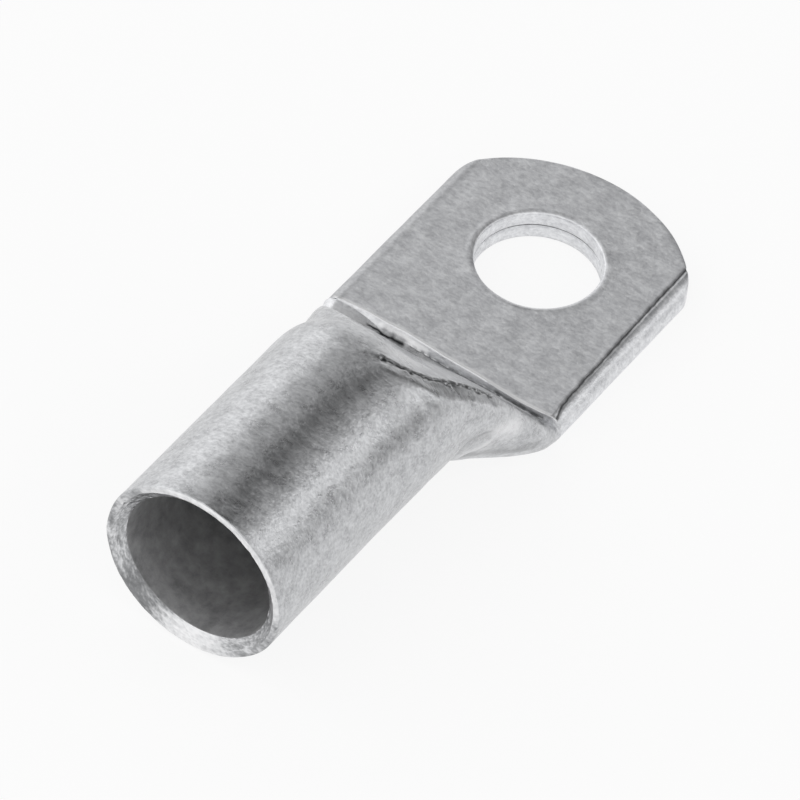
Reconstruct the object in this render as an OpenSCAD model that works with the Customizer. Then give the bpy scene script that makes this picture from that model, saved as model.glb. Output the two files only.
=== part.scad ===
// Tubular cable lug, pressed from one length of copper tube.
// It lies on its flat side: the underside of barrel and palm is z = 0,
// the barrel points along -X, the palm tip along +X, and +Z is up.

/* [Barrel] */
// Outside diameter of the round barrel, mm
barrel_d = 26; // [25:0.5:27]
// Diameter of the bore that takes the conductor, mm
bore_d = 21.4; // [20.4:0.2:22]
// Length of the barrel that is still fully round, mm
barrel_len = 33; // [30:0.5:36]
// Rounding of the outer edge of the mouth, mm
mouth_round = 0.5; // [0.2:0.1:0.8]
// Depth of the bevel inside the mouth, mm
mouth_bevel = 1; // [0.4:0.1:1.4]

/* [Palm] */
// Width of the palm over its rounded sides, mm
palm_w = 36.6; // [34:0.2:38]
// Thickness of the palm, two walls pressed together, mm
palm_t = 4.5; // [4:0.1:5]
// Overall length from mouth to tip, mm
lug_len = 97.2; // [92:0.2:104]
// Radius of the arc that ends the palm, mm
tip_r = 21.7; // [20:0.1:24]
// How far the palm's sides stand out past its flat top, mm
side_bulge = 1.8; // [1.2:0.1:2]

/* [Bolt hole] */
// Diameter of the stud hole, mm
hole_d = 17; // [13:0.5:17]
// Distance from the mouth to the hole's centre, mm
hole_x = 79.2; // [77:0.2:82]
// Width of the punched edge's roll-over, mm
hole_edge = 0.3; // [0.1:0.1:0.5]

/* [Fold] */
// Distance from the mouth to the front lip of the palm, mm
lip_x = 57.1; // [56:0.1:59]
// Depth of the pressed groove in front of the lip, mm
groove_depth = 0.7; // [0.2:0.1:1]
// Length of the sloped face that lifts the groove to the lip, mm
lip_run = 0.8; // [0.4:0.1:1.2]
// Radius of the rounded shoulder where the barrel's top turns down, mm
shoulder_r = 9; // [6:0.5:11]
// Slope of the fold's top below the shoulder, degrees
fold_lean = 52; // [50:0.5:56]
// Distance from the mouth at which the underside starts to flatten, mm
foot_x = 39.8; // [38:0.2:42]
// Rings along the fold between barrel and groove
fold_steps = 24; // [12:2:30]
// Points across the flat top of half a ring
top_points = 9; // [6:1:12]
// Points round the side and underside of half a ring
low_points = 24; // [14:1:30]

/* [Hidden] */
$fn = 96;
barrel_r = barrel_d / 2;
bore_r = bore_d / 2;
wall = barrel_r - bore_r;
// Width of the mouth's bevel as a share of its depth.
bevel_share = 0.8;
mid_x = lug_len / 2;
cut = 1;
tip_x = lug_len - tip_r;
groove_h = palm_t - groove_depth;
groove_x = lip_x - lip_run;
// Least length of the groove's flat floor.
groove_floor = 0.2;
// The palm's side is an arc that leaves the underside smoothly
// and meets the flat top in a crease.
crease_y = palm_w / 2 - side_bulge;
side_lean = palm_t - sqrt(2 * palm_t * side_bulge);
side_r = side_bulge + side_lean;
foot_y = crease_y - side_lean;
// The shoulder's arc ends at this distance and drop; a straight slope follows.
shoulder_run = shoulder_r * sin(fold_lean);
shoulder_drop = shoulder_r * (1 - cos(fold_lean));
// Least half width of a ring's flat top, so that its points stay apart.
least_top = 0.8;
// Distance from the mouth at which the flat top grows wider than the barrel.
widen_x = 42;
// The hollow in the fold ends where its height is down to this gap.
void_gap = 0.5;
// The fold stands this much inside the barrel, bore and palm that it joins,
// and reaches this far into each.
seat = 0.06;
reach = 1.5;
tin = [0.80, 0.80, 0.81];

// Eased step from 0 to 1.
function smooth(t) = let (c = min(max(t, 0), 1)) c * c * (3 - 2 * c);

// How far the top of the fold has come down at a distance run from its start.
function fold_drop(run) = run <= 0 ? 0
    : run < shoulder_run ? shoulder_r - sqrt(shoulder_r * shoulder_r - run * run)
    : shoulder_drop + (run - shoulder_run) * tan(fold_lean);

// Height of the section: down from the barrel to the groove, then up to the lip.
function section_h(x) = x <= groove_x
    ? max(barrel_d - fold_drop(x - barrel_len), groove_h)
    : groove_h + (palm_t - groove_h) * (x - groove_x) / lip_run;

// Half width of the flat top: the barrel's own chord at that height,
// which spreads to the palm's crease.
function chord(h) = h < barrel_r ? barrel_r : sqrt(max(h * (barrel_d - h), 0));
function section_top(x) = max(
    chord(section_h(x)) + (crease_y - barrel_r) * smooth((x - widen_x) / (groove_x - widen_x)),
    least_top
);
// Half width of the flat underside. The groove keeps the palm's full width.
function section_foot(x) = foot_y * smooth((x - foot_x) / (groove_x - foot_x))
    + max(palm_t - section_h(x), 0) / 2;

// Radius of the side arc, which leaves the underside smoothly
// and ends at the edge of the flat top.
function arc_r(h, lean) = (lean * lean + h * h) / (2 * h);

// Half a section from top centre to bottom centre, drawn in by inset. The edge
// of its flat top is always point number top_points, which makes a clean ridge.
// h height, top and foot half widths of the two flats.
function half_section(h, top, foot, inset) = let (
        r = arc_r(h, top - foot),
        ri = r - inset,
        zt = h - inset,
        yt = foot + sqrt(max(ri * ri - pow(zt - r, 2), 0)),
        turn = atan2(zt - r, yt - foot),
        arc = ri * (turn + 90) * PI / 180
    )
    concat(
        [for (i = [0 : top_points - 1]) [yt * i / top_points, zt]],
        [for (i = [0 : low_points]) let (
                s = (arc + foot) * i / low_points,
                a = turn - s / ri * 180 / PI
            )
            s < arc ? [foot + ri * cos(a), r + ri * sin(a)] : [foot - (s - arc), inset]]
    );

// A closed ring at x = at, from half a section and its mirror image.
function ring(half, at) = let (last = len(half) - 1)
    concat(
        [for (p = half) [at, p[0], p[1]]],
        [for (i = [last - 1 : -1 : 1]) [at, -half[i][0], half[i][1]]]
    );

// A ring of the fold with the section of x, standing at x = at.
function fold_ring(x, at, inset) =
    ring(half_section(section_h(x), section_top(x), section_foot(x), inset), at);

// Middle of a ring: halfway between its top centre and its bottom centre.
function ring_middle(one) = (one[0] + one[len(one) / 2]) / 2;

// Solid through a list of rings, closed by a fan at each end.
module loft(rings) {
    n = len(rings[0]);
    last = len(rings) - 1;
    points = [for (one = rings) each one];
    sides = [for (k = [0 : last - 1]) for (i = [0 : n - 1]) let (j = (i + 1) % n)
        each [
            [k * n + i, (k + 1) * n + j, (k + 1) * n + i],
            [k * n + i, k * n + j, (k + 1) * n + j]
        ]];
    ends = [for (i = [0 : n - 1]) let (j = (i + 1) % n)
        each [
            [len(points), j, i],
            [len(points) + 1, last * n + i, last * n + j]
        ]];
    polyhedron(
        concat(points, [ring_middle(rings[0]), ring_middle(rings[last])]),
        concat(sides, ends),
        convexity = 6
    );
}

// Where along the fold its rings stand.
function steps(from, to) = [for (k = [0 : fold_steps]) from + (to - from) * k / fold_steps];

// Where the slope reaches the height h.
function slope_x(h) = barrel_len + shoulder_run + (barrel_d - shoulder_drop - h) / tan(fold_lean);

// Outer form of the fold: a round shoulder, a slope that widens between two
// ridges, the groove at its foot and the lip of the palm.
module fold_outer() {
    foot_end = min(slope_x(groove_h), groove_x - groove_floor);
    loft(concat(
        [fold_ring(barrel_len, barrel_len - reach, wall / 2)],
        [for (x = concat(steps(barrel_len, foot_end), [groove_x, lip_x])) fold_ring(x, x, seat)],
        [fold_ring(lip_x, lip_x + reach, palm_t / 4)]
    ));
}

// The hollow inside the fold, one wall within its outer form.
module fold_void() {
    inner = wall + seat;
    loft(concat(
        [fold_ring(barrel_len, barrel_len - reach, inner)],
        [for (x = steps(barrel_len, slope_x(2 * inner + void_gap))) fold_ring(x, x, inner)]
    ));
}

// Barrel as a turned form: round outside with a softened mouth edge.
module barrel_outer() {
    softened = [for (a = [0 : 15 : 90])
        [barrel_r - mouth_round * (1 - sin(a)), mouth_round * (1 - cos(a))]];
    translate([0, 0, barrel_r])
        rotate([0, 90, 0])
            rotate_extrude()
                polygon(concat([[0, 0]], softened, [[barrel_r, barrel_len], [0, barrel_len]]));
}

// The bore and the bevel at its mouth.
module barrel_bore() {
    mouth_r = bore_r + mouth_bevel * bevel_share;
    translate([0, 0, barrel_r])
        rotate([0, 90, 0])
            rotate_extrude()
                polygon([
                    [0, -cut],
                    [mouth_r, -cut],
                    [mouth_r, 0],
                    [bore_r, mouth_bevel],
                    [bore_r, barrel_len],
                    [0, barrel_len]
                ]);
}

// Section of the palm: flat, with rounded sides that end in a crease on top.
module palm_section() {
    union() {
        translate([-foot_y, 0])
            square([2 * foot_y, palm_t]);
        for (s = [-1, 1])
            intersection() {
                translate([s * foot_y, side_r])
                    circle(r = side_r);
                translate([s > 0 ? 0 : -palm_w, 0])
                    square([palm_w, palm_t]);
            }
    }
}

// Plan of the palm: straight sides and an arc for its end.
module palm_plan() {
    translate([lip_x, -palm_w])
        square([tip_x - lip_x, 2 * palm_w]);
    translate([tip_x, 0])
        circle(r = tip_r);
}

// The palm, cut from its section's length by its plan.
module palm() {
    intersection() {
        translate([lip_x, 0, 0])
            rotate([90, 0, 90])
                linear_extrude(height = lug_len)
                    palm_section();
        translate([0, 0, -cut])
            linear_extrude(height = palm_t + 2 * cut)
                palm_plan();
    }
}

// Stud hole with the slight roll-over its punch left on top. The cone that cuts
// the roll-over starts inside the hole and ends above the palm.
module bolt_hole() {
    translate([hole_x, 0, -cut])
        cylinder(r = hole_d / 2, h = palm_t + 2 * cut);
    translate([hole_x, 0, palm_t - 2 * hole_edge])
        cylinder(r1 = hole_d / 2 - hole_edge, r2 = hole_d / 2 + 2 * hole_edge,
            h = 3 * hole_edge);
}

// The whole lug, centred between mouth and tip.
module cable_lug() {
    color(tin)
        translate([-mid_x, 0, 0])
            difference() {
                union() {
                    barrel_outer();
                    fold_outer();
                    palm();
                }
                barrel_bore();
                fold_void();
                bolt_hole();
            }
}

cable_lug();
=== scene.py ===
"""Tinned copper cable lug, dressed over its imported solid.

The lug is one length of tube: a round barrel, a fold, and a palm in which the
tube's two walls are pressed together. Sizes are in millimetres in the classes
below and turn to metres where a mesh gets its place.
"""

import logging
import math
from dataclasses import dataclass
from enum import Enum
from typing import ClassVar

import bmesh
import bpy
from mathutils import Matrix, Vector, noise


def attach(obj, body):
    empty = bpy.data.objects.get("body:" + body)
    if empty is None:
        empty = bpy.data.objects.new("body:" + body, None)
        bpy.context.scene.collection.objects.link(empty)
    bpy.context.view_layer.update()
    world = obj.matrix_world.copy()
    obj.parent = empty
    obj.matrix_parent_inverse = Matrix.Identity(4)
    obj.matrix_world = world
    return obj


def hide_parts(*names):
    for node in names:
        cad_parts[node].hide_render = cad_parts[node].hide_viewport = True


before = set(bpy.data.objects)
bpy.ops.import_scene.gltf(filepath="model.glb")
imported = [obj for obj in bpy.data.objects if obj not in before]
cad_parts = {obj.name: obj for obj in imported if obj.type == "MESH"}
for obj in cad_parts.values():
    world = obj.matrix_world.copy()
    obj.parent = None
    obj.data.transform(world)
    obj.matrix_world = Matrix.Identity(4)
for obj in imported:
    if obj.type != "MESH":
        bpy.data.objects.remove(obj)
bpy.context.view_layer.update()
LOG = logging.getLogger("cable_lug")
MM = 0.001
# Numbers of the Mix node's colour sockets, which share their names with its other kinds.
MIX_A, MIX_B, MIXED = 6, 7, 2
# Nearly all values of a noise texture lie in this span.
NOISE_SPAN = (0.3, 0.7)
# Layers of the skin's points that the tin finish reads: painted shade with darkening, painted
# highlight, and the pressed palm.
LAYER_NAMES = ("shade_and_grime", "painted_highlight", "pressed")
Pair = tuple[float, float]
Rows = tuple[tuple[float, ...], ...]


def clamp(value: float, low: float = 0.0, high: float = 1.0) -> float:
    """Holds a value between two bounds, which are 0 and 1 unless others are given."""
    return min(max(value, low), high)


def ease(at: float, start: float = 0.0, run: float = 1.0) -> float:
    """Gives an eased step from 0 to 1.

    Args:
        at: Where the step is read.
        start: Where it starts.
        run: How far it takes.

    Returns:
        The eased share.
    """
    c = clamp((at - start) / run)
    return c * c * (3 - 2 * c)


def linear(hex_colour: str) -> tuple[float, float, float, float]:
    """Turns an sRGB hex colour to linear, with the numbers of the sRGB standard.

    Args:
        hex_colour: Six hex digits.

    Returns:
        Linear red, green, blue and full opacity.
    """
    def one(pair: str) -> float:
        """Turns one pair of hex digits to linear."""
        c = int(pair, 16) / 255
        return c / 12.92 if c <= 0.04045 else ((c + 0.055) / 1.055) ** 2.4

    return (*(one(hex_colour[i:i + 2]) for i in (0, 2, 4)), 1.0)


def add_node(
    tree: bpy.types.NodeTree,
    kind: str,
    settings: dict[str, object] | None = None,
    inputs: dict[str | int, object] | None = None,
) -> bpy.types.Node:
    """Adds a node with its settings and links.

    Args:
        tree: Node tree that takes the node.
        kind: Node type, such as ShaderNodeTexNoise.
        settings: Properties of the node.
        inputs: Values or output sockets by input name or number.

    Returns:
        The new node.
    """
    node = tree.nodes.new(kind)
    for name, value in (settings or {}).items():
        setattr(node, name, value)
    for name, value in (inputs or {}).items():
        if isinstance(value, bpy.types.NodeSocket):
            tree.links.new(value, node.inputs[name])
        else:
            node.inputs[name].default_value = value
    return node


def blank_material(name: str) -> bpy.types.Material:
    """Makes a material with an empty node tree.

    Args:
        name: The material's name.

    Returns:
        The material.
    """
    material = bpy.data.materials.new(name)
    material.use_nodes = True
    material.node_tree.nodes.clear()
    return material


def white_rays(tree: bpy.types.NodeTree) -> bpy.types.NodeSocket:
    """Tells the rays that see the plain white room from the rays that light the lug.

    Args:
        tree: Node tree that takes the nodes.

    Returns:
        A socket that is 1 for camera, glossy and transmission rays and 0 for others.
    """
    path = add_node(tree, "ShaderNodeLightPath").outputs
    seen = path["Is Camera Ray"]
    for other in ("Is Glossy Ray", "Is Transmission Ray"):
        seen = add_node(tree, "ShaderNodeMath", {"operation": "MAXIMUM"}, {
            0: seen, 1: path[other]}).outputs[0]
    return seen


@dataclass(frozen=True)
class SatinTin:
    """Hot tinned copper, tumbled: a soft grey metal, finely grained, that blurs the room."""

    name: str = "satin_tin"
    colour: str = "d8d9db"
    shade: str = "adaeb0"
    palm_colour: str = "f2f3f5"
    palm_shade: str = "cdced1"
    # Colour of the painted highlight, and of the painted shade with darkening.
    highlight_colour: str = "f4f4f5"
    shade_and_dirt: str = "2d2e2f"
    # Roughness from the smoothest to the roughest patch, and how much the palm adds.
    roughness: Pair = (0.25, 0.36)
    palm_rougher: float = 0.1
    stretch: float = 0.5
    mottle_mm: float = 1.5
    # The real grain is near 0.1 mm, finer than a pixel, and is drawn four times coarser.
    grain_mm: float = 0.4
    # How much the grain adds to the mottling, in tone and in relief.
    grain_tone: float = 0.9
    grain_share: float = 0.5
    tone_span: Pair = (0.72, 1.18)
    bump_mm: float = 0.1
    # Share of the relief that is left under the painted highlight.
    highlight_relief: float = 0.35

    def build(self) -> bpy.types.Material:
        """Builds the material.

        Returns:
            The finished material.
        """
        material = blank_material(self.name)
        tree = material.node_tree
        place = add_node(tree, "ShaderNodeTexCoord").outputs["Object"]
        place = add_node(tree, "ShaderNodeMapping", inputs={
            "Vector": place, "Scale": (1, self.stretch, 1)}).outputs[0]
        mottle = add_node(tree, "ShaderNodeTexNoise", inputs={
            "Vector": place, "Scale": 1 / (self.mottle_mm * MM), "Detail": 5.0,
            "Roughness": 0.65}).outputs["Fac"]
        grain = add_node(tree, "ShaderNodeTexNoise", inputs={
            "Vector": place, "Scale": 1 / (self.grain_mm * MM), "Detail": 3.0,
            "Roughness": 0.6, "Distortion": 0.15}).outputs["Fac"]
        shade_and_grime, painted_highlight, pressed = (
            add_node(tree, "ShaderNodeAttribute", {"attribute_name": name}).outputs["Fac"]
            for name in LAYER_NAMES)
        specks = add_node(tree, "ShaderNodeMath", {"operation": "MULTIPLY_ADD"}, {
            0: grain, 1: self.grain_tone, 2: mottle}).outputs[0]
        tone = add_node(tree, "ShaderNodeMapRange", inputs={
            "Value": specks, "From Min": self.tone_span[0],
            "From Max": self.tone_span[1]}).outputs["Result"]
        drawn, flat = (
            add_node(tree, "ShaderNodeMix", {"data_type": "RGBA"}, {
                "Factor": tone, MIX_A: linear(shade), MIX_B: linear(light)}).outputs[MIXED]
            for shade, light in ((self.shade, self.colour), (self.palm_shade, self.palm_colour)))
        colour = drawn
        # Over the tin's tone go the pressed palm's colour, the painted highlight and the painted
        # shade.
        for share, over in ((pressed, flat), (painted_highlight, linear(self.highlight_colour)),
                            (shade_and_grime, linear(self.shade_and_dirt))):
            colour = add_node(tree, "ShaderNodeMix", {"data_type": "RGBA"}, {
                "Factor": share, MIX_A: colour, MIX_B: over}).outputs[MIXED]
        varied = add_node(tree, "ShaderNodeMapRange", inputs={
            "Value": mottle, "From Min": NOISE_SPAN[0], "From Max": NOISE_SPAN[1],
            "To Min": self.roughness[0], "To Max": self.roughness[1]}).outputs["Result"]
        rough = add_node(tree, "ShaderNodeMath", {"operation": "MULTIPLY_ADD"}, {
            0: pressed, 1: self.palm_rougher, 2: varied}).outputs[0]
        relief = add_node(tree, "ShaderNodeMath", {"operation": "MULTIPLY_ADD"}, {
            0: grain, 1: self.grain_share, 2: mottle}).outputs[0]
        kept = add_node(tree, "ShaderNodeMapRange", inputs={
            "Value": painted_highlight, "To Min": 1.0, "To Max": self.highlight_relief}).outputs["Result"]
        bump = add_node(tree, "ShaderNodeBump", inputs={
            "Strength": kept, "Distance": self.bump_mm * MM,
            "Height": relief}).outputs["Normal"]
        shader = add_node(tree, "ShaderNodeBsdfPrincipled", inputs={
            "Metallic": 1.0, "Base Color": colour, "Roughness": rough, "Normal": bump})
        add_node(tree, "ShaderNodeOutputMaterial", inputs={"Surface": shader.outputs["BSDF"]})
        return material


@dataclass(frozen=True)
class DullBore:
    """Inside of the tube: tin left dull and oxide-grey, which scatters what light comes in."""

    name: str = "dull_oxidised_tin"
    colour: str = "a9a9aa"
    shade: str = "7e7e7f"
    metallic: float = 0.3
    roughness: float = 0.62
    mottle_mm: float = 2.2
    bump_mm: float = 0.06

    def build(self) -> bpy.types.Material:
        """Builds the material.

        Returns:
            The finished material.
        """
        material = blank_material(self.name)
        tree = material.node_tree
        place = add_node(tree, "ShaderNodeTexCoord").outputs["Object"]
        mottle = add_node(tree, "ShaderNodeTexNoise", inputs={
            "Vector": place, "Scale": 1 / (self.mottle_mm * MM), "Detail": 6.0,
            "Roughness": 0.7}).outputs["Fac"]
        tone = add_node(tree, "ShaderNodeMapRange", inputs={
            "Value": mottle, "From Min": NOISE_SPAN[0],
            "From Max": NOISE_SPAN[1]}).outputs["Result"]
        colour = add_node(tree, "ShaderNodeMix", {"data_type": "RGBA"}, {
            "Factor": tone, MIX_A: linear(self.shade),
            MIX_B: linear(self.colour)}).outputs[MIXED]
        bump = add_node(tree, "ShaderNodeBump", inputs={
            "Strength": 1.0, "Distance": self.bump_mm * MM, "Height": mottle}).outputs["Normal"]
        shader = add_node(tree, "ShaderNodeBsdfPrincipled", inputs={
            "Metallic": self.metallic, "Base Color": colour, "Roughness": self.roughness,
            "Normal": bump})
        add_node(tree, "ShaderNodeOutputMaterial", inputs={"Surface": shader.outputs["BSDF"]})
        return material


@dataclass(frozen=True)
class StudioPaper:
    """Matt white paper sweep, which shows plain white with the object's soft shadow."""

    name: str = "white_paper"
    colour: str = "fcfcfc"
    # Share of plain white that is mixed in where the paper is seen.
    glow: float = 0.86

    def build(self) -> bpy.types.Material:
        """Builds the material.

        Returns:
            The finished material.
        """
        material = blank_material(self.name)
        tree = material.node_tree
        paper = add_node(tree, "ShaderNodeBsdfDiffuse", inputs={"Color": linear(self.colour)})
        glow = add_node(tree, "ShaderNodeEmission", inputs={"Color": (1, 1, 1, 1), "Strength": 1.0})
        share = add_node(tree, "ShaderNodeMath", {"operation": "MULTIPLY"}, {
            0: white_rays(tree), 1: self.glow})
        mixed = add_node(tree, "ShaderNodeMixShader", inputs={
            0: share.outputs[0], 1: paper.outputs[0], 2: glow.outputs[0]})
        add_node(tree, "ShaderNodeOutputMaterial", inputs={"Surface": mixed.outputs[0]})
        return material


@dataclass
class PhotoCamera:
    """Camera on the photograph's line of sight, with its long lens."""

    place_mm: tuple[float, float, float] = (-612.83, -337.80, 745.93)
    azimuth: float = 28.929402
    elevation: float = 46.69997
    roll: float = 7.19009
    lens: float = 360.0
    sensor: float = 36.0
    clip_m: Pair = (0.01, 50.0)

    def build(self) -> bpy.types.Object:
        """Places the camera.

        Returns:
            The camera, set as the scene's.
        """
        az, el, roll = (math.radians(a) for a in (self.azimuth, self.elevation, self.roll))
        ahead = Vector((math.cos(el) * math.cos(az), math.cos(el) * math.sin(az), -math.sin(el)))
        level = Vector((math.sin(az), -math.cos(az), 0))
        above = level.cross(ahead)
        right = level * math.cos(roll) + above * math.sin(roll)
        up = above * math.cos(roll) - level * math.sin(roll)
        data = bpy.data.cameras.new("camera")
        data.lens = self.lens
        data.sensor_width = self.sensor
        data.clip_start, data.clip_end = self.clip_m
        camera = bpy.data.objects.new("camera", data)
        turn = Matrix((right, up, -ahead)).transposed().to_4x4()
        camera.matrix_world = Matrix.Translation(Vector(self.place_mm) * MM) @ turn
        bpy.context.scene.collection.objects.link(camera)
        bpy.context.scene.camera = camera
        return camera


@dataclass(frozen=True)
class TentCloth:
    """Light tent's cloth, lit from outside: it glows, plain in front and in panels behind."""

    name: str = "tent_cloth"
    front: float = 1.0
    # Brightness of the tent's back from right to left, overhead and at the horizon.
    panels: tuple[Pair, ...] = (
        (-1.0, 0.45), (-0.84, 0.3), (-0.79, 0.35), (-0.73, 0.95), (-0.67, 1.4), (-0.6, 0.75),
        (-0.47, 0.45), (-0.33, 0.33), (-0.17, 0.2), (-0.06, 0.05), (0.04, 0.05),
        (0.15, 0.33), (0.28, 0.52), (0.45, 0.5), (0.6, 0.6), (0.7, 0.8), (0.8, 0.9), (1.0, 0.9),
    )
    horizon: tuple[Pair, ...] = (
        (-1.0, 0.45), (-0.84, 0.16), (-0.79, 0.16), (-0.73, 0.9), (-0.67, 1.35), (-0.55, 0.45),
        (-0.45, 0.12), (-0.05, 0.12), (0.12, 0.65), (0.3, 0.86), (1.0, 0.92),
    )
    # Where the front turns to the back, and the horizon to overhead, on a ball of radius 1.
    back_span: Pair = (-0.2, 0.35)
    high_span: Pair = (0.25, 0.55)

    def build(self) -> bpy.types.Material:
        """Builds the material.

        Returns:
            The finished material.
        """
        material = blank_material(self.name)
        tree = material.node_tree
        place = add_node(tree, "ShaderNodeTexCoord").outputs["Object"]
        way = add_node(tree, "ShaderNodeVectorMath", {"operation": "NORMALIZE"}, {0: place})
        parts = add_node(tree, "ShaderNodeSeparateXYZ", inputs={0: way.outputs[0]}).outputs
        across = add_node(tree, "ShaderNodeMapRange", inputs={
            "Value": parts["Y"], "From Min": -1.0, "From Max": 1.0}).outputs["Result"]
        overhead = add_node(tree, "ShaderNodeValToRGB", inputs={0: across})
        low = add_node(tree, "ShaderNodeValToRGB", inputs={0: across})
        for node, stops in ((overhead, self.panels), (low, self.horizon)):
            band = node.color_ramp
            while len(band.elements) < len(stops):
                band.elements.new(0.5)
            for element, (at, shade) in zip(band.elements, stops):
                element.position = (at + 1) / 2
                element.color = (shade, shade, shade, 1)
        back, high = (
            add_node(tree, "ShaderNodeMapRange", {"interpolation_type": "SMOOTHSTEP"}, {
                "Value": part, "From Min": span[0], "From Max": span[1]}).outputs["Result"]
            for part, span in ((parts["X"], self.back_span), (parts["Z"], self.high_span)))
        behind = add_node(tree, "ShaderNodeMix", {"data_type": "RGBA"}, {
            "Factor": high, MIX_A: low.outputs[0], MIX_B: overhead.outputs[0]}).outputs[MIXED]
        level = add_node(tree, "ShaderNodeMix", {"data_type": "RGBA"}, {
            "Factor": back, MIX_A: (self.front, self.front, self.front, 1),
            MIX_B: behind}).outputs[MIXED]
        glow = add_node(tree, "ShaderNodeEmission", inputs={"Color": level, "Strength": 1.0})
        add_node(tree, "ShaderNodeOutputMaterial", inputs={"Surface": glow.outputs[0]})
        # Rays find the wide dome by themselves, so it isn't sampled as a lamp.
        material.cycles.emission_sampling = "NONE"
        return material


@dataclass(frozen=True)
class Softbox:
    """A soft lamp that faces the lug, with its place and size in metres."""

    name: str
    place: tuple[float, float, float]
    size: Pair
    watts: float

    def build(self) -> bpy.types.Object:
        """Hangs the lamp.

        Returns:
            The lamp.
        """
        data = bpy.data.lights.new(self.name, "AREA")
        data.shape = "RECTANGLE"
        data.size, data.size_y = self.size
        data.energy = self.watts
        lamp = bpy.data.objects.new(self.name, data)
        lamp.location = self.place
        lamp.rotation_euler = (-Vector(self.place)).to_track_quat("-Z", "Y").to_euler()
        bpy.context.scene.collection.objects.link(lamp)
        return lamp


@dataclass
class Studio:
    """Paper floor, soft lamps on both sides and a tent of light round them."""

    floor_m: float = 6.0
    # The floor lies this far under the lug, so that the two faces don't coincide.
    floor_gap_mm: float = 0.1
    tent_m: float = 5.0
    lamps: tuple[Softbox, ...] = (
        Softbox("left_softbox", (0.3, 1.1, 0.5), (1.2, 0.8), 1.2),
        Softbox("right_strip", (0.9, -1.0, 0.6), (1.4, 0.25), 1.0),
    )

    def stand(self, name: str, bm: bmesh.types.BMesh,
              finish: bpy.types.Material) -> bpy.types.Object:
        """Stands a piece of the stage in the scene.

        Args:
            name: The piece's name.
            bm: Its mesh in metres, freed here.
            finish: Its material.

        Returns:
            The piece, marked as stage.
        """
        mesh = bpy.data.meshes.new(name)
        bm.to_mesh(mesh)
        bm.free()
        mesh.materials.append(finish)
        piece = bpy.data.objects.new(name, mesh)
        bpy.context.scene.collection.objects.link(piece)
        return piece

    def floor(self) -> None:
        """Lays the paper floor."""
        bm = bmesh.new()
        bmesh.ops.create_grid(bm, x_segments=1, y_segments=1, size=self.floor_m)
        bmesh.ops.translate(bm, verts=bm.verts, vec=(0, 0, -self.floor_gap_mm * MM))
        self.stand("floor", bm, StudioPaper().build())

    def tent(self) -> None:
        """Raises the light tent as a dome that lights the lug, unseen by the camera."""
        bm = bmesh.new()
        bmesh.ops.create_uvsphere(bm, u_segments=96, v_segments=48, radius=self.tent_m)
        tent = self.stand("tent", bm, TentCloth().build())
        tent.visible_camera = False
        tent.visible_shadow = False

    def world(self) -> None:
        """Sets the world round the tent to plain white where it is seen, and dark elsewhere."""
        world = bpy.data.worlds.new("white_room")
        bpy.context.scene.world = world
        world.use_nodes = True
        tree = world.node_tree
        tree.nodes.clear()
        white = add_node(tree, "ShaderNodeBackground", inputs={
            "Color": (1, 1, 1, 1), "Strength": white_rays(tree)})
        add_node(tree, "ShaderNodeOutputWorld", inputs={"Surface": white.outputs[0]})

    def build(self) -> None:
        """Sets up floor, lamps, tent and world."""
        self.floor()
        for lamp in self.lamps:
            lamp.build()
        self.tent()
        self.world()
        bpy.context.scene.view_settings.view_transform = "Standard"


def between(rows: Rows, at: float) -> tuple[float, ...]:
    """Reads a table between its rows.

    Args:
        rows: Rows that start with a rising key.
        at: Key to read at, held within the table.

    Returns:
        The row's other numbers there.
    """
    at = clamp(at, rows[0][0], rows[-1][0])
    low, high = next((a, b) for a, b in zip(rows, rows[1:]) if at <= b[0])
    t = (at - low[0]) / (high[0] - low[0])
    return tuple(a + (b - a) * t for a, b in zip(low[1:], high[1:]))


class Form(Enum):
    """Part of the lug that a ring of the skin belongs to."""

    ROUND = "round"
    FOLD = "fold"
    LIP = "lip"
    PALM = "palm"


@dataclass(frozen=True)
class Ring:
    """One ring of the skin: where it stands and how its section is formed."""

    form: Form
    x: float = 0.0
    radius: float = 0.0
    inset: float = 0.0
    share: float = 0.0
    back: float = 0.0
    squeeze: float = 1.0


@dataclass(frozen=True)
class Layers:
    """Layers of the skin's points that its finish reads, in the order of LAYER_NAMES."""

    shade_and_grime: bmesh.types.BMLayerItem
    painted_highlight: bmesh.types.BMLayerItem
    pressed: bmesh.types.BMLayerItem


@dataclass(frozen=True)
class Lobe:
    """A stretch of the mouth's round: its middle in degrees from the top, and its width."""

    middle: float
    width: float

    def share(self, turn: float) -> float:
        """Gives how much of the stretch is felt at an angle in radians, from 0 to 1."""
        return math.exp(-((turn - math.radians(self.middle)) / self.width) ** 2)


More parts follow.
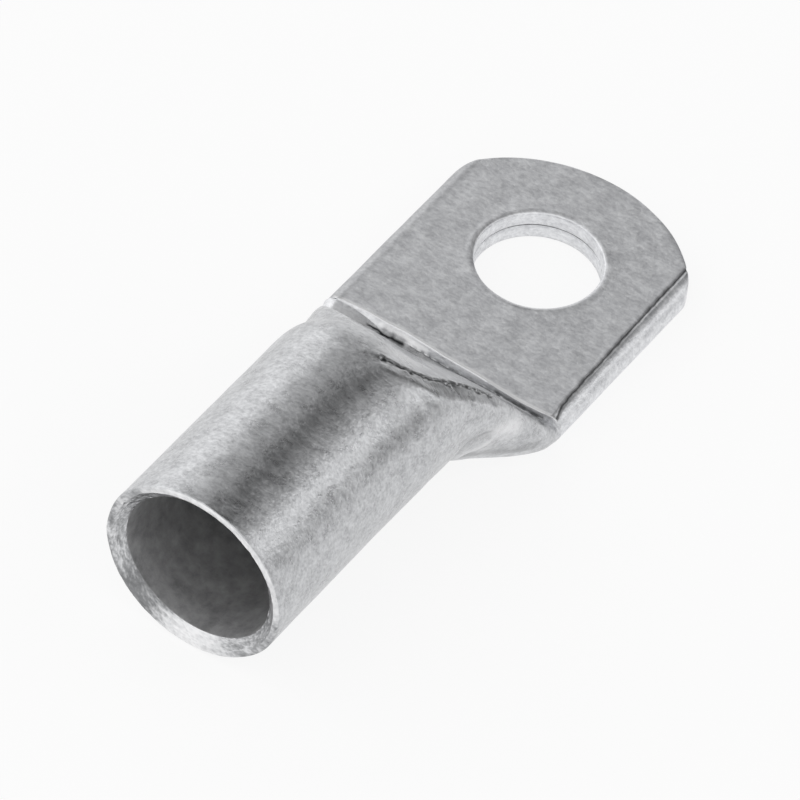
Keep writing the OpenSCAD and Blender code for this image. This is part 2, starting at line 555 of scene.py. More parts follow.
@dataclass(frozen=True)
class Crease:
    """A groove or bead pressed along a line on the skin, with the painted shade and painted
    highlight it carries.

    Lines are given in millimetres from the mouth and from the middle, or from the floor
    where the line is on the fold's flank. A groove has a positive depth, a bead a
    negative one. A patchy one lays its painted shade in patches.
    """

    line: tuple[Pair, ...]
    width: float
    depth: float = 0.0
    shade_and_grime: float = 0.0
    painted_highlight: float = 0.0
    rag: float = 0.0
    streak: float = 0.0
    flank: bool = False
    patchy: bool = False
    # The flank starts this far right of the middle, and slants out past a place on the
    # fold. It ends below a height, over a fade, and before the palm.
    flank_y: ClassVar[float] = -11.5
    flank_slant: ClassVar[float] = 0.8
    slant_from: ClassVar[float] = 46.0
    flank_top: ClassVar[float] = 13.0
    flank_fade: ClassVar[float] = 2.5
    flank_end: ClassVar[float] = 54.0
    # Creases lie above this height and are felt over this many widths.
    lowest: ClassVar[float] = 3.3
    widths: ClassVar[float] = 3.0
    # Waves per millimetre of a ragged line, and the step between its two noises.
    rag_pitch: ClassVar[float] = 1.3
    rag_step: ClassVar[tuple[float, float, float]] = (7.0, 3.0, 1.0)

    def away(self, x: float, y: float) -> float:
        """Finds how far a point stands from the line.

        Args:
            x: The point's distance from the mouth.
            y: Its distance from the middle, or from the floor on the flank.

        Returns:
            The distance in millimetres.
        """
        best = math.inf
        for (ax, ay), (bx, by) in zip(self.line, self.line[1:]):
            dx, dy = bx - ax, by - ay
            t = clamp(((x - ax) * dx + (y - ay) * dy) / (dx * dx + dy * dy))
            best = min(best, math.hypot(x - ax - t * dx, y - ay - t * dy))
        return best

    def share(self, point: Vector) -> float:
        """Gives how much of the crease is felt at a point.

        Args:
            point: Place on the skin, from mouth, middle and floor.

        Returns:
            The share, from 0 to 1.
        """
        slant = self.flank_slant * max(point.x - self.slant_from, 0)
        on_flank = (point.y < self.flank_y - slant and point.z < self.flank_top
                    and point.x < self.flank_end)
        if point.z < self.lowest or self.flank != on_flank:
            return 0.0
        x, y = point.x, point.z if self.flank else point.y
        if self.rag:
            wave = point * self.rag_pitch
            x += self.rag * noise.noise(wave)
            y += self.rag * noise.noise(wave + Vector(self.rag_step))
        gap = self.away(x, y) / self.width
        ending = ease(self.flank_top - point.z, 0, self.flank_fade) if self.flank else 1.0
        return math.exp(-gap * gap) * ending if gap < self.widths else 0.0


@dataclass
class Lug:
    """The whole lug as one closed skin, from the hollow's inner end to the seam in the tip."""

    barrel_d: float = 26.0
    bore_d: float = 21.4
    mouth_round: float = 0.3
    mouth_bevel: float = 1.2
    bevel_run: float = 1.45
    # Small step that the deburring tool leaves at the bevel's inner end, and its length.
    burr: float = 0.06
    burr_run: float = 0.15
    palm_w: float = 36.6
    palm_t: float = 4.5
    lug_len: float = 97.2
    tip_r: float = 21.7
    tip_round: float = 0.35
    corner_r: float = 1.5
    hole_d: float = 17.0
    hole_x: float = 79.2
    hole_round: float = 0.3
    hole_burr: float = 0.07
    hole_margin: float = 1.3
    # The rings bend back with the tip's arc, so the block runs further on the middle line.
    hole_ahead: float = 0.7
    # Loops round the hole, past its radius: two on top and one underneath.
    hole_skirts: tuple[float, float, float] = (1.0, 0.62, 0.8)
    # Loops down the hole's wall into the seam: past its radius, and away from the middle,
    # above the seam and below it.
    seam_above: tuple[Pair, ...] = ((0, 0.9), (0, 0.24), (0.05, 0.12), (0.22, 0.04))
    seam_below: tuple[Pair, ...] = ((0, 0.9), (0, 0.18), (0.05, 0.1), (0.22, 0.04))
    seam: float = 0.22
    lip_x: float = 57.1
    groove_h: float = 3.8
    groove_x: float = 56.4
    # The groove rises on the left by this share of the way to the palm's top, from a
    # start over a run.
    groove_rise: float = 0.92
    groove_span: Pair = (8.0, 7.5)
    # The end of the slope is drawn over to the wandering lip within this run.
    pull_run: float = 1.4
    hood_x: float = 33.0
    hood_r: float = 9.0
    hood_lean: float = 52.0
    sag_from: float = 0.5
    sag_to: float = -7.5
    # Swelling of the right shoulder: its height, the angle at which it ends, where along
    # the lug it comes, goes and leans to the slope, each as start and run, how far it
    # leans, and the share of its width over which it starts.
    bulge_mm: float = 1.25
    bulge_end: float = 115.0
    bulge_comes: Pair = (24.0, 13.0)
    bulge_goes: Pair = (43.0, 7.0)
    bulge_leans: Pair = (32.0, 4.0)
    bulge_lean: float = 0.35
    bulge_foot: float = 0.22
    dent_mm: float = 0.05
    dent_pitch: float = 0.22
    # Points round a ring, and how many of them lie across half of the palm's flat top.
    around: int = 256
    crease_at: int = 54
    # Inner rings: the end of the straight bore, the gap at which the hollow is shut, the
    # step that finds it, and how many rings the hollow, the bore and the bevel have.
    bore_end: float = 31.0
    void_gap: float = 0.3
    void_step: float = 0.05
    void_rings: int = 16
    bore_rings: int = 8
    bevel_steps: int = 12
    # Outer rings up to the lip: form, first place, step, and how many.
    runs: tuple[tuple[Form, float, float, int], ...] = (
        (Form.ROUND, 0.7, 0.4, 6), (Form.ROUND, 3.5, 1.9, 11), (Form.FOLD, 23.0, 0.7, 8),
        (Form.FOLD, 28.5, 0.3, 82), (Form.FOLD, 53.15, 0.125, 27),
    )
    # Rings of a rounded edge, of the lip's face, close behind it and along the palm.
    round_rings: int = 5
    lip_rings: int = 4
    bead_shares: tuple[float, ...] = (0.0, 0.004, 0.008, 0.012)
    palm_rings: int = 44
    # Rings that close the tip: the share of its thickness left, and of the seam's depth.
    tip_closing: tuple[Pair, ...] = (
        (0.75, 0), (0.5, 0), (0.25, 0), (0.08, 0), (0.02, 1), (0.0, 1),
    )
    # Squeezed flatter than this, a ring of the tip turns into the seam's line.
    seal_below: float = 0.3
    merge_mm: float = 0.0005
    # Rounds of smoothing for the fold and for the palm's left edge, and where that edge
    # and the crease on the right lie across the palm.
    fold_rounds: int = 3
    edge_rounds: int = 8
    left_edge: Pair = (15.6, 17.4)
    right_edge: Pair = (-17.4, -15.3)
    # The palm's pressed finish starts within a run past the groove, and sooner on the left.
    pressed_run: float = 1.2
    pressed_sooner: float = 2.4
    pressed_left: Pair = (3.0, 6.0)
    # Patches of a patchy crease's painted shade and of the tip's darkening: their middle level, how
    # far they swing, and waves per millimetre.
    crease_patches: tuple[float, float, float] = (0.8, 1.1, 1.9)
    tip_patches: tuple[float, float, float] = (0.5, 1.3, 0.45)
    # Darkening along the tip's upper edge, with its reach, and the painted shade on the rounded
    # left edge.
    tip_darkening: float = 0.5
    tip_reach: float = 0.7
    edge_shade: float = 0.36
    # The bevel has a painted highlight at its foot, given from both ends of the turn, and
    # painted shade beside that, to the left.
    bevel_foot: tuple[Lobe, Lobe] = (Lobe(177, 0.36), Lobe(-183, 0.36))
    bevel_shade: Lobe = Lobe(-142, 0.35)
    # Where the painted highlight near the bevel's top lies, and how deep the tool's streaks go.
    bevel_top: float = 28.0
    bevel_streak: float = 0.09
    # Small dent in the mouth: its angle in degrees, place, length, width and depth.
    dent_turn: float = 11.0
    dent_x: float = 1.2
    dent_len: float = 1.3
    dent_width: float = 0.1
    dent_depth: float = 0.16
    # How the fold's section spreads as it is pressed: distance from the mouth,
    # half width of its flat top on the left and on the right, and of its foot.
    spread: Rows = (
        (33.0, 0.0, 0.0, 0.0), (33.8, 0.9, 1.2, 0.0), (34.6, 1.6, 3.9, 0.0),
        (35.5, 2.4, 5.8, 0.0), (36.3, 2.8, 7.0, 0.0), (37.4, 3.0, 8.3, 0.0),
        (39.0, 4.4, 9.6, 0.0), (40.6, 7.6, 10.5, 0.3), (42.0, 9.4, 11.3, 0.9),
        (43.4, 10.6, 11.9, 1.7), (45.0, 11.7, 12.5, 3.8), (46.3, 12.4, 12.8, 5.3),
        (48.5, 13.5, 13.9, 8.4), (50.4, 14.5, 14.8, 11.0), (52.3, 15.4, 15.5, 13.2),
        (53.5, 15.9, 16.0, 14.4), (54.5, 16.2, 16.2, 15.2), (56.3, 16.5, 16.5, 16.2),
        (57.1, 16.5, 16.5, 16.0),
    )
    # Height of the fold's plainer right half against the distance from the mouth.
    right_fall: Rows = (
        (33.0, 26.0), (33.6, 25.95), (34.6, 25.35), (35.5, 24.65), (36.3, 23.95), (37.4, 23.0),
        (39.0, 21.75), (40.6, 20.6), (42.0, 19.5), (43.4, 18.4), (45.0, 16.8), (46.3, 15.4),
        (48.5, 13.0), (50.4, 10.8), (52.3, 8.5), (53.5, 7.1), (54.5, 5.9), (55.7, 4.5),
        (56.2, 3.95), (56.6, 3.8), (60.0, 3.8),
    )
    # The lip of the palm wanders: place from right to left, then the distances from the
    # mouth of the foot and of the top of its front face.
    lip_line: Rows = (
        (-18.3, 56.8, 57.05), (-17.0, 56.75, 57.0), (-15.0, 56.5, 56.75), (-12.0, 56.4, 56.6),
        (-8.7, 56.45, 56.75), (-5.0, 56.4, 57.0), (0.0, 56.4, 57.1), (3.0, 56.55, 57.3),
        (6.0, 56.65, 57.55), (9.3, 56.5, 57.4), (11.8, 56.9, 57.5), (14.0, 57.0, 57.35),
        (17.0, 56.9, 57.0), (18.3, 56.9, 57.05),
    )
    creases: tuple[Crease, ...] = (
        # Ragged line where the barrel's top breaks into the slope, its groove darkened with painted
        # shade in patches.
        Crease(((34.6, -3.7), (35.5, -5.8), (36.3, -7.1), (37.4, -8.4), (39.1, -9.7),
                (40.6, -10.5), (42.0, -11.2), (43.2, -11.8), (44.8, -12.4), (46.3, -13.0)),
               width=0.4, depth=0.26, shade_and_grime=0.95, rag=0.5, patchy=True),
        # Gap that stays open under the fold's rounded shoulder, filled with painted shade.
        Crease(((56.15, 10.9), (56.3, 9.2), (56.35, 8.0)), width=0.25, depth=0.12, shade_and_grime=1.0,
               rag=0.15),
        Crease(((56.2, 8.9), (56.3, 7.4), (56.2, 5.8)), width=0.52, depth=0.17, shade_and_grime=1.0,
               rag=0.25),
        # Painted shade in the angle under the lip, darkest on the right.
        Crease(((56.35, -8.4), (56.3, -11.0), (56.35, -13.2), (56.5, -15.6)),
               width=0.13, depth=0.16, shade_and_grime=0.65, rag=0.2),
        # Painted highlight down the slope, streaked with a slight ripple.
        Crease(((38.5, -4.2), (42.0, -6.0), (46.0, -8.0), (50.0, -9.5), (53.5, -11.0)),
               width=2.4, painted_highlight=0.5, streak=0.1),
        # Painted shade along the angle under the lip's middle, in a shallow groove.
        Crease(((56.4, -8.4), (56.35, -4.0), (56.4, 0.0), (56.5, 4.5)),
               width=0.14, depth=0.06, shade_and_grime=0.45, rag=0.25),
        # Bead that the press rolls up along the lip, with a painted highlight along it.
        Crease(((57.2, -17.2), (56.95, -15.0), (56.8, -12.0), (56.95, -8.7), (57.2, -5.0),
                (57.3, 0.0), (57.5, 3.0), (57.7, 6.0), (57.55, 9.3), (57.65, 11.8),
                (57.5, 14.0), (57.3, 17.2)), width=0.24, depth=-0.09, painted_highlight=0.9),
        # Painted highlight on the smooth metal between the shoulder and the lip's left end.
        Crease(((55.5, 17.0), (55.6, 14.0), (55.7, 11.0)), width=0.9, painted_highlight=0.45),
        # Painted highlight on the lip's face, on its left half and on its right half.
        Crease(((57.05, 9.6), (57.1, 7.0), (57.0, 4.5), (56.9, 2.6)), width=0.45, painted_highlight=1.0),
        Crease(((56.95, -15.5), (56.85, -12.0), (57.0, -8.7), (57.25, -5.0), (57.3, -1.0)),
               width=0.34, painted_highlight=1.0),
        # Crease that parts the palm's top from its rounded right side, darkened with painted shade.
        Crease(((57.4, -17.3), (58.8, -16.8), (60.7, -16.5), (66.0, -16.4), (73.6, -16.3),
                (83.2, -16.1), (91.5, -16.0)), width=0.2, depth=0.12, shade_and_grime=0.9, rag=0.15),
        # Hollow and ridge where the barrel's right side folds in to the palm, the hollow darkened
        # with painted shade.
        Crease(((44.2, 10.9), (42.7, 11.3), (41.2, 11.3), (40.6, 10.2), (40.6, 8.0)),
               width=0.8, depth=0.36, shade_and_grime=0.3, flank=True),
        # Painted highlight on the flank's shoulder, and painted shade on its underside, in the
        # shade of the fold.
        Crease(((43.8, 11.6), (46.0, 10.6), (48.5, 9.2)), width=1.5, painted_highlight=0.55,
               flank=True),
        Crease(((43.6, 5.4), (46.4, 5.0), (49.0, 4.3), (51.5, 3.9)), width=1.0,
               shade_and_grime=0.32, flank=True),
        # The ridge, raised, with a painted highlight on it.
        Crease(((44.4, 9.2), (43.6, 7.6), (42.0, 6.9)), width=0.55, depth=-0.3, painted_highlight=0.6,
               flank=True),
    )

    def __post_init__(self) -> None:
        """Works out the sizes that follow from the others."""
        self.barrel_r = self.barrel_d / 2
        self.bore_r = self.bore_d / 2
        self.wall = self.barrel_r - self.bore_r
        self.hole_r = self.hole_d / 2
        self.tip_x = self.lug_len - self.tip_r
        self.half = self.around // 2

    def hood(self, x: float) -> float:
        """Gives the height of the fold's rounded left half.

        Args:
            x: Distance from the mouth.

        Returns:
            The height over the floor.
        """
        lean = math.radians(self.hood_lean)
        run = x - self.hood_x
        if run <= 0:
            return self.barrel_d
        if run < self.hood_r * math.sin(lean):
            return self.barrel_d - self.hood_r + math.sqrt(self.hood_r ** 2 - run ** 2)
        drop = self.hood_r * (1 - math.cos(lean))
        drop += (run - self.hood_r * math.sin(lean)) * math.tan(lean)
        return max(self.barrel_d - drop, self.groove_h)

    def ramp(self, x: float, y: float = 0.0) -> float:
        """Gives the height of the fold's sloped top.

        Args:
            x: Distance from the mouth.
            y: Distance from the middle.

        Returns:
            The height over the floor.
        """
        share = ease(y, self.sag_to, self.sag_from - self.sag_to)
        height = self.hood(x) * share + between(self.right_fall, x)[0] * (1 - share)
        return max(height, self.groove_floor(y))

    def groove_floor(self, y: float) -> float:
        """Gives the height of the groove's floor, which rises to the palm on the left."""
        rise = self.groove_rise * (self.palm_t - self.groove_h)
        return self.groove_h + rise * ease(y, *self.groove_span)

    def bulge(self, x: float, lean: float, ridge: float) -> float:
        """Gives how far the right shoulder stands out beside the slope, in millimetres.

        Args:
            x: Distance from the mouth.
            lean: Angle of the point from straight up, in degrees.
            ridge: The same angle at the edge of the section's flat top.

        Returns:
            The height of the bulge over the plain section.
        """
        full = ease(x, *self.bulge_comes) * (1 - ease(x, *self.bulge_goes))
        t = (lean - ridge) / (self.bulge_end - ridge)
        if not 0 < t < 1:
            return 0.0
        early = 1 - self.bulge_lean * ease(x, *self.bulge_leans)
        return self.bulge_mm * full * math.sin(math.pi * t ** early) * ease(t, 0, self.bulge_foot)

    def section(self, k: int, x: float, h: float, inset: float = 0.0,
                squeeze: float = 1.0) -> Pair:
        """Finds a point of a pressed section: flat top, round side and flat foot.

        Args:
            k: Number of the point, from the top centre over +Y.
            x: Distance of the section from the mouth.
            h: Height of the section.
            inset: How far the point stands inside the section.
            squeeze: Share of the height that is left about its middle.

        Returns:
            The point's y and z.
        """
        left, right, foot = between(self.spread, x)
        left_side = k < self.half
        top = left if left_side else right
        h = min(h, self.barrel_d)
        lean = top - foot
        r = (lean * lean + h * h) / (2 * h)
        ri, zt = r - inset, h - inset
        top = foot + math.sqrt(max(ri * ri - (zt - r) ** 2, 0))
        turn = math.atan2(zt - r, top - foot)
        arc = ri * (math.pi / 2 + turn)
        whole = top + arc + foot
        share = self.from_top(k) / self.half
        s = share * whole
        if x >= self.groove_x:
            # From the groove on, one point of each side keeps to the palm's crease.
            edge = self.crease_at / self.half
            s = share / edge * top
            if share > edge:
                s = top + (share - edge) / (1 - edge) * (whole - top)
        if s < top:
            y, z = s, zt
        elif s < top + arc:
            a = turn - (s - top) / ri
            if not left_side and inset == 0:
                ri += self.bulge(x, 90 - math.degrees(a), 90 - math.degrees(turn))
            y, z = foot + ri * math.cos(a), r + ri * math.sin(a)
        else:
            y, z = foot - (s - top - arc), inset
        z = h / 2 + (z - h / 2) * squeeze
        return (y if k <= self.half else -y), z

    def from_top(self, k: int) -> int:
        """Counts how many points a point is away from the top centre, on either side."""
        return k if k <= self.half else self.around - k

    def seal(self, k: int, edge: float) -> float:
        """Gives a point's place across on the line of half length edge where the sheet shuts."""
        y = edge * (1 - abs(1 - 2 * self.from_top(k) / self.half))
        return y if k <= self.half else -y

    def tip_at(self, y: float) -> float:
        """Gives where the palm's rounded end lies.

        Args:
            y: Distance from the middle.

        Returns:
            The end's distance from the mouth.
        """
        edge = max(abs(y) - (self.palm_w / 2 - self.corner_r), 0) / self.corner_r
        arc = self.tip_x + math.sqrt(max(self.tip_r ** 2 - y * y, 0))
        return arc - self.corner_r * (1 - math.sqrt(max(1 - min(edge, 1) ** 2, 0)))

    def place(self, ring: Ring, k: int) -> Vector:
        """Finds where a point of a ring stands.

        Args:
            ring: The ring.
            k: Number of the point, from the top centre over +Y.

        Returns:
            The place in millimetres from mouth, middle and floor.
        """
        if ring.form is Form.ROUND:
            a = 2 * math.pi * k / self.around
            return Vector((ring.x, ring.radius * math.sin(a),
                           self.barrel_r + ring.radius * math.cos(a)))
        if ring.form is Form.FOLD:
            side = self.barrel_r if k < self.half else -self.barrel_r
            y, z = self.section(k, ring.x, self.ramp(ring.x, side))
            y, z = self.section(k, ring.x, self.ramp(ring.x, y), ring.inset, ring.squeeze)
            if ring.squeeze == 0:
                y = self.seal(k, between(self.spread, ring.x)[2])
            pull = ease(ring.x - self.groove_x + self.pull_run, 0, self.pull_run)
            return Vector((ring.x + pull * (between(self.lip_line, y)[0] - self.groove_x), y, z))
        y, z = self.section(k, self.lip_x, self.palm_t, ring.inset, ring.squeeze)
        if ring.squeeze < self.seal_below:
            share = 1 - ring.squeeze / self.seal_below
            y += share * (self.seal(k, self.palm_w / 2 - ring.inset) - y)
        foot_x, lip_x = between(self.lip_line, y)
        if ring.form is Form.LIP:
            low_y, low_z = self.section(k, self.groove_x, self.groove_h)
            if low_z > self.groove_h - 0.01:
                low_z = max(low_z, self.groove_floor(low_y))
            return Vector((foot_x + (lip_x - foot_x) * ring.share,
                           low_y + (y - low_y) * ring.share,
                           low_z + (z - low_z) * ring.share))
        x = lip_x + ring.share * (self.tip_at(y) - lip_x) - ring.back
        return Vector((x, y, z))

    def inner_rings(self) -> list[Ring]:
        """Lists the rings of the hollow and the bore.

        Returns:
            The rings, from the hollow's shut end to the mouth.
        """
        shut, end = self.hood_x, self.bore_end
        while self.ramp(shut) > 2 * self.wall + self.void_gap:
            shut += self.void_step
        rings = [Ring(Form.FOLD, shut, inset=self.wall, squeeze=0.0)]
        rings += [Ring(Form.FOLD, shut - (shut - end) * k / self.void_rings, inset=self.wall)
                  for k in range(self.void_rings + 1)]
        rings += [Ring(Form.ROUND, end - (end - self.mouth_bevel) * k / self.bore_rings,
                       self.bore_r) for k in range(1, self.bore_rings)]
        inner = self.bore_r + self.burr
        rings += [Ring(Form.ROUND, self.mouth_bevel + self.burr_run, self.bore_r),
                  Ring(Form.ROUND, self.mouth_bevel, inner)]
        steps = self.bevel_steps
        rings += [Ring(Form.ROUND, self.mouth_bevel * (1 - k / steps),
                       inner + (self.bevel_run - self.burr) * k / steps)
                  for k in range(1, steps + 1)]
        return rings

    def outer_rings(self) -> list[Ring]:
        """Lists the rings of the outside.

        Returns:
            The rings, from the mouth's outer edge to the seam in the tip.
        """
        quarter = [math.radians(90 * k / self.round_rings) for k in range(self.round_rings + 1)]
        edge = self.barrel_r - self.mouth_round
        rings = [Ring(Form.ROUND, 0.0, (self.bore_r + self.bevel_run + edge) / 2)]
        rings += [Ring(Form.ROUND, self.mouth_round * (1 - math.cos(a)),
                       edge + self.mouth_round * math.sin(a)) for a in quarter]
        rings += [Ring(form, first + k * step, self.barrel_r)
                  for form, first, step, count in self.runs for k in range(count)]
        rings += [Ring(Form.LIP, share=k / self.lip_rings) for k in range(1, self.lip_rings)]
        rings += [Ring(Form.PALM, share=share) for share in self.bead_shares]
        rings += [Ring(Form.PALM, share=k / self.palm_rings) for k in range(1, self.palm_rings)]
        rings += [Ring(Form.PALM, share=1.0, inset=self.tip_round * (1 - math.cos(a)),
                       back=self.tip_round * (1 - math.sin(a))) for a in quarter]
        rings += [Ring(Form.PALM, share=1.0, inset=self.tip_round, squeeze=squeeze,
                       back=self.seam * deep) for squeeze, deep in self.tip_closing]
        return rings

    def near_hole(self, ring: Ring, y: float) -> bool:
        """Tells whether a ring's point lies in the block of whole rows that the hole clears.

        Args:
            ring: The point's ring.
            y: The point's distance from the middle.

        Returns:
            Whether it does.
        """
        reach = self.hole_r + self.hole_margin
        along = self.lip_x + ring.share * (self.lug_len - self.lip_x) - self.hole_x
        in_rows = -reach < along < reach + self.hole_ahead
        return ring.form is Form.PALM and in_rows and abs(y) < reach

    def skin(self) -> bmesh.types.BMesh:
        """Rolls a sheet into the lug's skin, presses it to shape and clears the hole's place.

        Returns:
            The skin in millimetres, open at the two ends of the stud hole.
        """
        inside = self.inner_rings()
        rings = inside + self.outer_rings()
        last = len(rings) - 1
        bm = bmesh.new()
        bmesh.ops.create_grid(bm, x_segments=last, y_segments=self.around, size=0.5)
        row: dict[bmesh.types.BMVert, int] = {}
        for vert in bm.verts:
            row[vert] = round((vert.co.x + 0.5) * last)
            k = round((vert.co.y + 0.5) * self.around) % self.around
            vert.co = self.place(rings[row[vert]], k)
        block = [face for face in bm.faces
                 if all(self.near_hole(rings[row[vert]], vert.co.y) for vert in face.verts)]
        # The bore's finish ends where the bevel starts.
        bore_rows = len(inside) - self.bevel_steps - 1
        for face in bm.faces:
            face.material_index = int(all(row[vert] <= bore_rows for vert in face.verts))
        bmesh.ops.delete(bm, geom=block, context="FACES")
        bmesh.ops.remove_doubles(bm, verts=bm.verts, dist=self.merge_mm)
        return bm

    def hole_profile(self) -> tuple[list[Pair], list[Pair]]:
        """Lists the loops of the hole's edge and wall.

        Returns:
            Radius and height of each loop, down from the top and up from the underside.
        """
        edge, deep = self.hole_round, self.hole_r
        middle = self.palm_t / 2
        outer, inner, under = self.hole_skirts
        turns = [math.radians(a) for a in (0, 30, 60, 90)]
        top = [(deep + outer, self.palm_t), (deep + inner, self.palm_t + self.hole_burr)]
        top += [(deep + edge * (1 - math.sin(a)), self.palm_t - edge * (1 - math.cos(a)))
                for a in turns]
        top += [(deep + past, middle + away) for past, away in self.seam_above]
        low = [(deep + under, 0.0)]
        low += [(deep + edge * (1 - math.sin(a)), edge * (1 - math.cos(a))) for a in turns]
        low += [(deep + past, middle - away) for past, away in self.seam_below]
        return top, low

    def punch(self, bm: bmesh.types.BMesh) -> None:
        """Draws the edges of the cleared block in to the round stud hole and down its wall.

        Args:
            bm: The skin, open above and below the hole.
        """
        ends = []
        for profile, above in zip(self.hole_profile(), (True, False)):
            rim = [edge for edge in bm.edges if edge.is_boundary
                   and (edge.verts[0].co.z > self.palm_t / 2) == above]
            for radius, height in profile:
                made = bmesh.ops.extrude_edge_only(bm, edges=rim)["geom"]
                rim = [item for item in made if isinstance(item, bmesh.types.BMEdge)
                       and item.is_boundary]
                for vert in {v for edge in rim for v in edge.verts}:
                    a = math.atan2(vert.co.y, vert.co.x - self.hole_x)
                    vert.co = Vector((self.hole_x + radius * math.cos(a),
                                      radius * math.sin(a), height))
            ends += rim
        bmesh.ops.bridge_loops(bm, edges=ends)

    def soften(self, bm: bmesh.types.BMesh) -> None:
        """Smooths the fold and the palm's left edge, and halves the mesh under thin creases.

        Args:
            bm: The closed skin in millimetres.
        """
        # The fold to just short of the groove, and the left edge's top from lip to tip.
        fold = [v for v in bm.verts
                if self.bore_end < v.co.x < self.groove_x - 0.6 and v.normal.length > 0]
        left = [v for v in bm.verts
                if self.lip_x + 0.8 < v.co.x < self.tip_at(v.co.y) - 2
                and self.left_edge[0] < v.co.y < self.left_edge[1] and v.co.z > 3.4]
        for verts, rounds in ((fold, self.fold_rounds), (left, self.edge_rounds)):
            for _ in range(rounds):
                bmesh.ops.smooth_vert(bm, verts=verts, factor=0.5, use_axis_x=False,
                                      use_axis_y=True, use_axis_z=True)
        # Upward faces from the shoulder to the lip, and the crease along the palm's right.
        thin = [edge for edge in bm.edges if all(
            (34 < v.co.x < self.lip_x + 1 and v.co.z > 3 and v.normal.z > 0.3)
            or (v.co.x > self.lip_x and v.co.z > 3.6
                and self.right_edge[0] < v.co.y < self.right_edge[1])
            for v in edge.verts)]
        bmesh.ops.subdivide_edges(bm, edges=thin, cuts=1, use_grid_fill=True)

    def mark_skin(self, bm: bmesh.types.BMesh) -> None:
        """Presses the creases in, leaves the shallow dents of tumbling, and marks painted
        highlights, painted shade and darkening.

        Args:
            bm: The closed, softened skin in millimetres.
        """
        bm.normal_update()
        layers = Layers(*(bm.verts.layers.float.new(name) for name in LAYER_NAMES))
        moves = {}
        for vert in bm.verts:
            spot = vert.co
            rise = self.press(vert, layers)
            if spot.x < 2.5:
                rise += self.mark_mouth(vert, layers)
            across = math.hypot(spot.x - self.hole_x, spot.y)
            if spot.x > self.lip_x and across < self.hole_r + self.hole_margin:
                self.mark_hole(vert, layers)
            self.darken_edges(vert, layers)
            rise += self.dent_mm * noise.noise(spot * self.dent_pitch) * ease(spot.z, 0, 3)
            moves[vert] = vert.normal * rise
        for vert, move in moves.items():
            vert.co += move

    def press(self, vert: bmesh.types.BMVert, layers: Layers) -> float:
        """Marks a point with its share of the palm's finish and of each crease.

        Args:
            vert: Point of the skin.
            layers: Layers that take the marks.

        Returns:
            How far the point rises, in millimetres.
        """
        spot = vert.co
        sooner = self.pressed_sooner * ease(spot.y, *self.pressed_left) if spot.z < 6 else 0.0
        vert[layers.pressed] = ease(spot.x - self.groove_x + sooner, 0, self.pressed_run)
        rise = 0.0
        for crease in self.creases:
            share = crease.share(spot)
            rise -= crease.depth * share
            held = self.patches(spot, *self.crease_patches) if crease.patchy else 1.0
            # The crease's painted shade and painted highlight.
            vert[layers.shade_and_grime] = max(vert[layers.shade_and_grime], crease.shade_and_grime * share * held)
            vert[layers.painted_highlight] = max(vert[layers.painted_highlight], crease.painted_highlight * share)
            if crease.streak and share > 0.01:
                # The scrapes are broad, so the noise is slow down the slope and across it.
                across = Vector((spot.x * 1.3 + spot.z * 0.7, spot.y * 0.3, 0))
                rise += crease.streak * share * noise.noise(across)
        return rise

    @staticmethod
    def patches(spot: Vector, level: float, swing: float, pitch: float) -> float:
        """Gives how thickly patchy dirt lies at a place, from 0 to 1."""
        return clamp(level + swing * noise.noise(spot * pitch))

    def darken_edges(self, vert: bmesh.types.BMVert, layers: Layers) -> None:
        """Darkens the tip's upper edge in patches and paints shade on the palm's rounded left edge.

        Args:
            vert: Point of the skin.
            layers: Layers, which take the darkening and the painted shade.
        """
        x, y, z = vert.co
        # Darkening along the tip's upper edge, in patches.
        if x > self.tip_x and z > 3.9:
            near = 1 - ease(self.tip_at(y) - x, 0, self.tip_reach)
            shade_and_dirt = self.tip_darkening * near * self.patches(vert.co, *self.tip_patches)
            vert[layers.shade_and_grime] = max(vert[layers.shade_and_grime], shade_and_dirt)
        # Painted shade on the palm's rounded left edge.
        if x > self.lip_x and y > 15.5 and z > 2:
            edge = ease(y, self.left_edge[0], 1.0) * ease(z, 2.2, 0.8)
            vert[layers.shade_and_grime] = max(vert[layers.shade_and_grime], self.edge_shade * edge)

    def mark_mouth(self, vert: bmesh.types.BMVert, layers: Layers) -> float:
        """Streaks the mouth's cut bevel as the deburring tool leaves it, with painted highlight and
        painted shade.

        Args:
            vert: Point near the mouth.
            layers: Layers, which take the painted shade and dark streaks, and the painted highlight
                and bright streaks.

        Returns:
            How far the point rises, in millimetres.
        """
        x, y, z = vert.co
        radius = math.hypot(y, z - self.barrel_r)
        turn = math.atan2(-y, z - self.barrel_r)
        if radius < self.bore_r + self.burr / 2:
            return 0.0
        # Wide bands and fine streaks, both long round the mouth and short across it.
        around = Vector((math.sin(turn) * 4, math.cos(turn) * 4, (radius - x) * 1.6))
        fine = Vector((math.sin(turn) * 24, math.cos(turn) * 24, (radius - x) * 6))
        streak = 0.4 * noise.noise(around) + 0.6 * noise.noise(fine)
        if radius < self.barrel_r - 0.12:
            # How far each band brightens or darkens the bevel was matched.
            foot = sum(lobe.share(turn) for lobe in self.bevel_foot)
            beside = self.bevel_shade.share(turn)
            top = ease(math.cos(turn - math.radians(self.bevel_top)), 0.2, 0.5)
            # Painted highlight at the bevel's foot and near its top, and painted shade beside the
            # foot, both streaked.
            vert[layers.painted_highlight] = clamp(0.9 * foot + 0.75 * top + 0.9 * streak)
            vert[layers.shade_and_grime] = clamp(0.22 + 0.5 * beside - foot - top - 0.8 * streak, 0.0, 0.6)
            return self.bevel_streak * streak
        dent = math.exp(-((turn - math.radians(self.dent_turn)) / self.dent_width) ** 2
                        - ((x - self.dent_x) / self.dent_len) ** 2)
        # The outer rim is darkened, most on its lower half, and slightly uneven.
        rim = 1 - ease(x, 0.3, 0.5)
        vert[layers.shade_and_grime] = 0.6 * rim * ease(0.5 - 0.8 * math.cos(turn - math.radians(20)))
        return 0.06 * noise.noise(around) * (1 - ease(x, 0.5, 1.6)) - self.dent_depth * dent

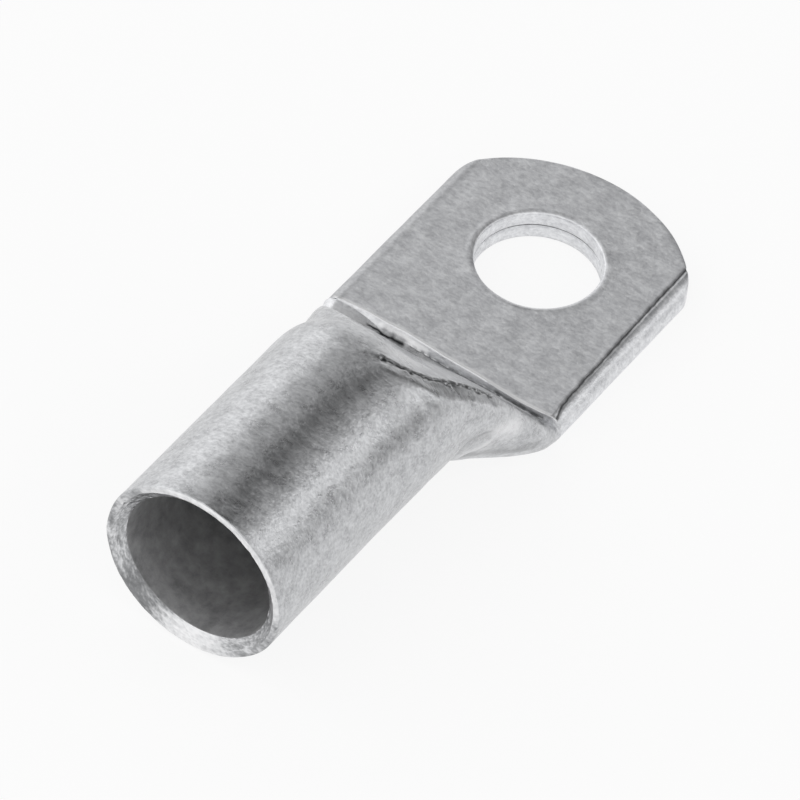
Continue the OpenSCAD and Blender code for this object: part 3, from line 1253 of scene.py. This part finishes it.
    def mark_hole(self, vert: bmesh.types.BMVert, layers: Layers) -> None:
        """Marks the hole's punched edge: a painted highlight on the burr, darkening beside it and
        on its lower edge, and a dark line along the seam.

        Args:
            vert: Point near the hole.
            layers: Layers, which take the darkening and dark line, and the burr's painted
                highlight.
        """
        x, y, z = vert.co
        radius = math.hypot(x - self.hole_x, y)
        patchy = 0.5 + 0.9 * noise.noise(Vector((x * 0.5, y * 0.5, z)))
        if abs(z - self.palm_t / 2) < 0.08:
            vert[layers.shade_and_grime] = 0.8
        elif z > self.palm_t - 0.2:
            if radius <= self.hole_r + 0.4:
                # Painted highlight on the burr, in patches.
                vert[layers.painted_highlight] = 0.5 * clamp(patchy)
            elif radius < self.hole_r + 0.8:
                vert[layers.shade_and_grime] = 0.3 * patchy
            else:
                vert[layers.shade_and_grime] = 0.0
        elif z < self.hole_round:
            vert[layers.shade_and_grime] = 0.35

    def build(self) -> bpy.types.Object:
        """Builds the lug's skin as an object in its place.

        Returns:
            The object.
        """
        bm = self.skin()
        self.punch(bm)
        bmesh.ops.recalc_face_normals(bm, faces=bm.faces)
        bm.normal_update()
        self.soften(bm)
        self.mark_skin(bm)
        bmesh.ops.transform(
            bm, verts=bm.verts,
            matrix=Matrix.Scale(MM, 4) @ Matrix.Translation((-self.lug_len / 2, 0, 0)))
        mesh = bpy.data.meshes.new("lug_skin")
        bm.to_mesh(mesh)
        bm.free()
        mesh.shade_smooth()
        mesh.set_sharp_from_angle(angle=math.radians(45))
        piece = bpy.data.objects.new("lug_skin", mesh)
        bpy.context.scene.collection.objects.link(piece)
        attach(piece, "root")
        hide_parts("cable_lug")
        return piece

    def dress(self, piece: bpy.types.Object) -> None:
        """Gives the skin its two finishes: tin outside, and the dull bore."""
        piece.data.materials.append(SatinTin().build())
        piece.data.materials.append(DullBore().build())


def main() -> None:
    """Builds the stage and the lug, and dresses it."""
    logging.basicConfig(level=logging.INFO, format="%(message)s")
    PhotoCamera().build()
    Studio().build()
    lug = Lug()
    piece = lug.build()
    lug.dress(piece)
    LOG.info("%s: %d faces", piece.name, len(piece.data.polygons))


if __name__ == "__main__":
    main()
